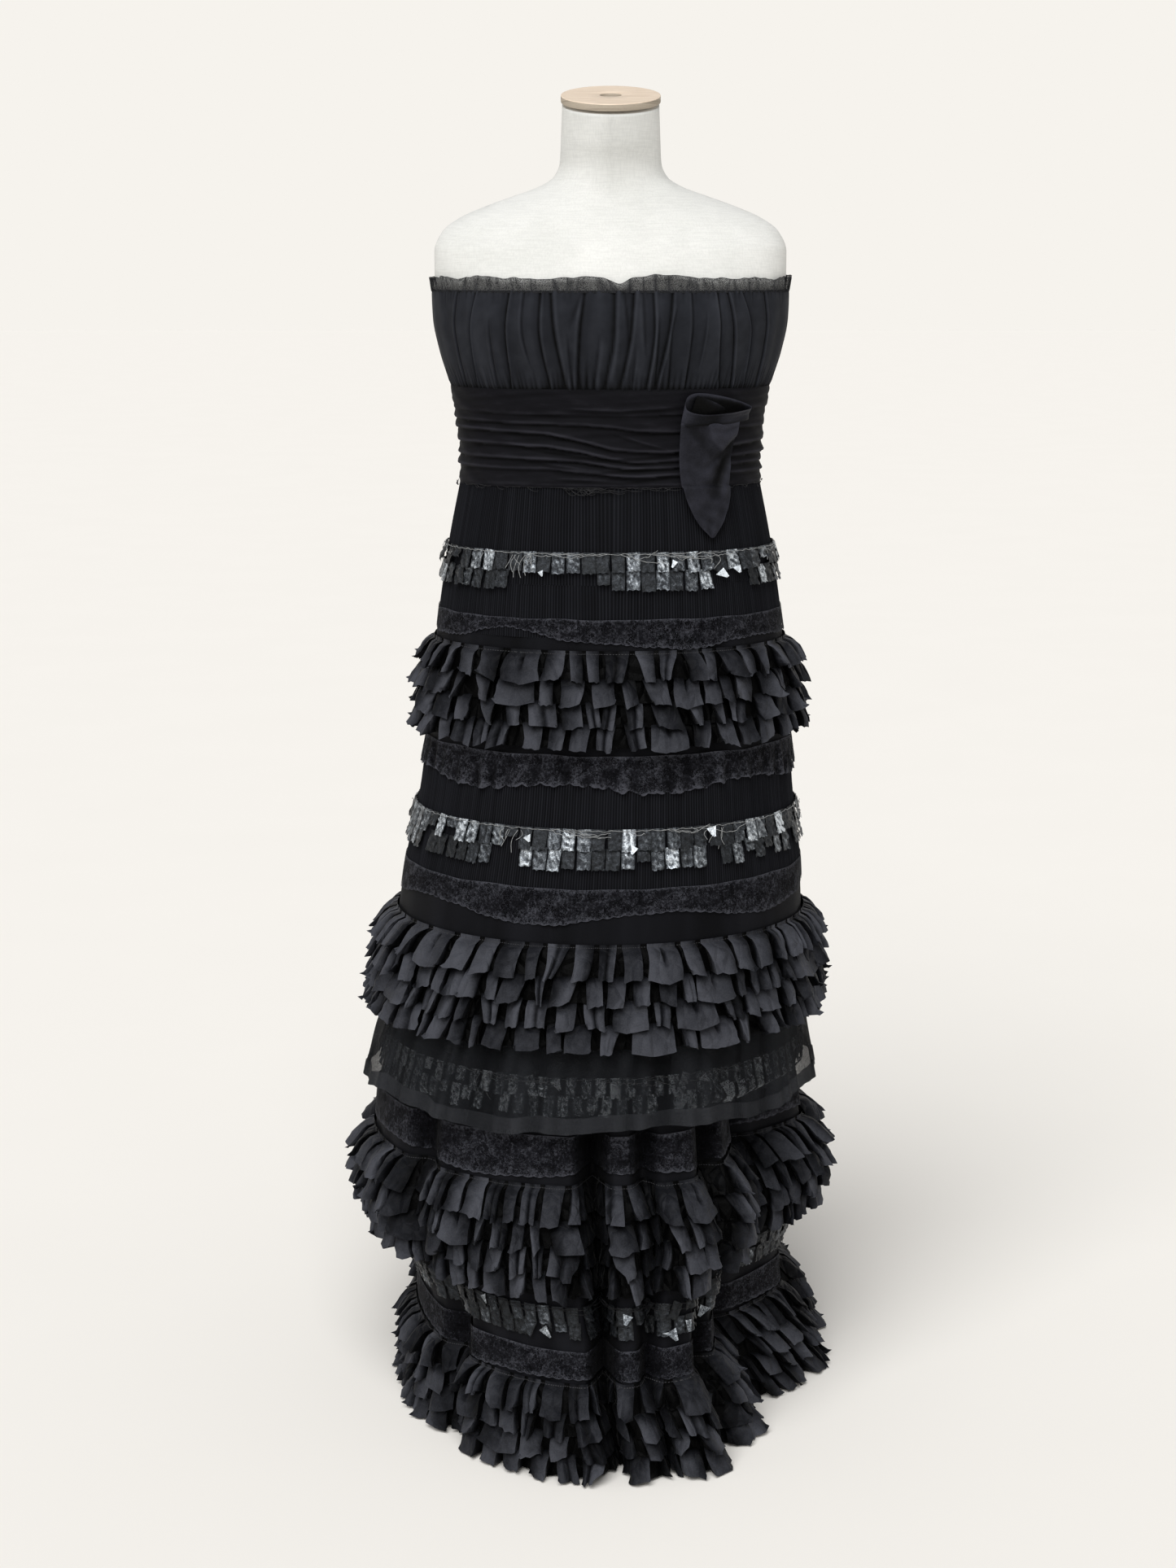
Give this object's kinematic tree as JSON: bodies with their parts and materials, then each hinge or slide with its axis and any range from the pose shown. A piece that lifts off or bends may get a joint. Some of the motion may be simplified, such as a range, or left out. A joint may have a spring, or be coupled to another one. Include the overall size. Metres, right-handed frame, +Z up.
{
  "type": "strapless gown on a dress form",
  "caption": "Strapless gown with a gathered bodice, draped sash and a long flared skirt of ruffle, lace and foil tiers, worn by a limbless dress form on a round stand.",
  "frame": {"origin": "on the floor under the stand's pole, at the middle of the base plate's underside", "axes": "+Z up, -Y towards the gown's front, +X towards the viewer's right, where the sash end hangs"},
  "size_m": [0.5859, 0.7352, 1.4976],
  "materials": {
    "crepe": "matt black crystal-pleated crepe",
    "chiffon": "matt black gathered chiffon",
    "satin": "black satin with a soft sheen",
    "lace": "matt black lace",
    "tulle": "sheer black tulle",
    "foil": "crinkled pewter foil",
    "linen": "natural white linen stretched over the form",
    "plywood": "pale sanded plywood",
    "steel": "grey painted steel"
  },
  "bodies": {
    "root": {"bodice_back": "chiffon", "bodice_front": "chiffon", "cummerbund": "satin", "foil_band_1": "foil", "foil_band_2": "foil", "foil_band_3": "foil", "foil_band_4": "foil", "form_torso": "linen", "lace_band_1": "lace", "lace_band_2": "lace", "lace_band_3": "lace", "lace_band_4": "lace", "lace_band_5": "lace", "neck_cap": "plywood", "neckline_frill": "tulle", "ruffle_1_row_1": "satin", "ruffle_1_row_2": "satin", "ruffle_1_row_3": "satin", "ruffle_1_row_4": "satin", "ruffle_2_row_1": "satin", "ruffle_2_row_2": "satin", "ruffle_2_row_3": "satin", "ruffle_2_row_4": "satin", "ruffle_3_row_1": "satin", "ruffle_3_row_2": "satin", "ruffle_3_row_3": "satin", "ruffle_3_row_4": "satin", "ruffle_4_row_1": "satin", "ruffle_4_row_2": "satin", "ruffle_4_row_3": "satin", "ruffle_4_row_4": "satin", "sash_loop": "satin", "sash_tail": "satin", "skirt_lower": "crepe", "skirt_upper": "crepe", "stand_base": "steel", "stand_pole": "steel", "tulle_overlay": "tulle"}
  },
  "joints": []
}
